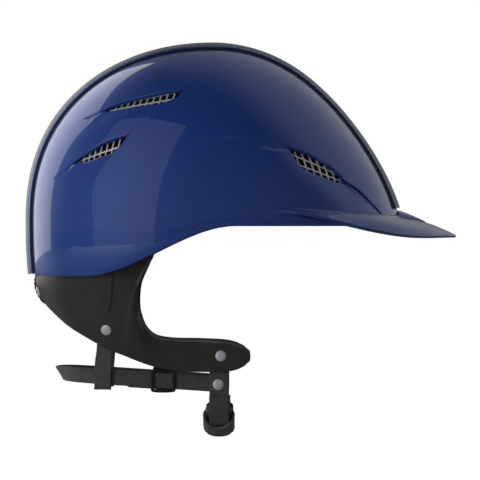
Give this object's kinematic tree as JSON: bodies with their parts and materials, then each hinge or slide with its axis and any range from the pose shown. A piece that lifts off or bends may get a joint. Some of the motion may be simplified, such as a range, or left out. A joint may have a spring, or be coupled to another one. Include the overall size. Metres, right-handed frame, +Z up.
{
  "type": "equestrian riding helmet",
  "caption": "Peaked riding helmet with a raised centre band, meshed vents, leather-type harness, webbing straps, side-release buckle and chin pad.",
  "frame": {"origin": "middle of the head opening, level with the front rim, on the helmet's middle plane", "axes": "+X to the wearer's front, where the peak points; +Y to the wearer's left; +Z up through the crown"},
  "size_m": [0.3099, 0.2112, 0.2846],
  "materials": {
    "shell": "glossy metallic navy",
    "band": "fine-textured satin grey",
    "rail": "glossy blue",
    "grille": "bright metallised mesh",
    "foam": "moulded black expanded foam",
    "pad": "soft knitted lining",
    "panel": "matte imitation leather",
    "webbing": "woven grey webbing",
    "rivet": "satin silver",
    "buckle": "black moulded",
    "chin_pad": "soft grey cover"
  },
  "bodies": {
    "helmet": {"outer_shell": "shell", "peak": "shell", "centre_band": "band", "band_rail_left": "rail", "band_rail_right": "rail", "front_grille_left": "grille", "front_grille_right": "grille", "upper_grille_left": "grille", "upper_grille_right": "grille", "lower_grille_left": "grille", "lower_grille_right": "grille", "impact_liner": "foam", "headband_pad": "pad", "crown_pad": "pad", "pad_tabs": "pad", "harness_panel_left": "panel", "harness_panel_right": "panel", "anchor_tongue_left": "panel", "anchor_tongue_right": "panel", "harness_anchors": "webbing", "nape_bridge": "panel", "nape_rivets": "rivet", "rear_rivets": "rivet", "jaw_rivets": "rivet"},
    "chin_upper": {"chin_strap_upper": "webbing", "chin_strap_left": "webbing", "chin_rivets": "rivet", "buckle_socket": "buckle"},
    "chin_lower": {"chin_strap_lower": "webbing", "buckle_plug": "buckle", "chin_pad": "chin_pad", "chin_pad_cover": "chin_pad"},
    "neck": {"neck_strap": "webbing"},
    "drop_left": {"drop_strap_left": "webbing"},
    "drop_right": {"drop_strap_right": "webbing"},
    "slider_left": {"slider_left": "buckle", "strap_tail_left": "webbing"},
    "slider_right": {"slider_right": "buckle", "strap_tail_right": "webbing"}
  },
  "joints": [
    {"name": "chin_swing", "type": "hinge", "parent": "helmet", "child": "chin_upper", "pos_m": [0.0021, 0, -0.0926], "axis": [0, 1, 0], "range_deg": [-12, 12]},
    {"name": "buckle_release", "type": "hinge", "parent": "chin_upper", "child": "chin_lower", "pos_m": [0.0011, -0.0654, -0.121], "axis": [-1, 0, 0], "range_deg": [0, 65]},
    {"name": "neck_follow", "type": "hinge", "parent": "chin_upper", "child": "neck", "pos_m": [0.0003, 0, -0.113], "axis": [0, 1, 0], "range_deg": [-12, 12]},
    {"name": "drop_left_swing", "type": "hinge", "parent": "helmet", "child": "drop_left", "pos_m": [-0.07906, 0.06792, -0.07394], "axis": [0, 1, 0], "range_deg": [-8, 8]},
    {"name": "drop_right_swing", "type": "hinge", "parent": "helmet", "child": "drop_right", "pos_m": [-0.07906, -0.06792, -0.07394], "axis": [0, 1, 0], "range_deg": [-8, 8]},
    {"name": "slider_left_slide", "type": "slide", "parent": "neck", "child": "slider_left", "axis": [0.9979, 0, -0.0641], "range_m": [-0.006, 0.008]},
    {"name": "slider_right_slide", "type": "slide", "parent": "neck", "child": "slider_right", "axis": [0.9979, 0, -0.0641], "range_m": [-0.006, 0.008]}
  ],
  "couplings": [
    {"joint": "neck_follow", "follows": "chin_swing", "ratio": -1},
    {"joint": "drop_left_swing", "follows": "chin_swing", "ratio": 0.62},
    {"joint": "drop_right_swing", "follows": "chin_swing", "ratio": 0.62}
  ]
}
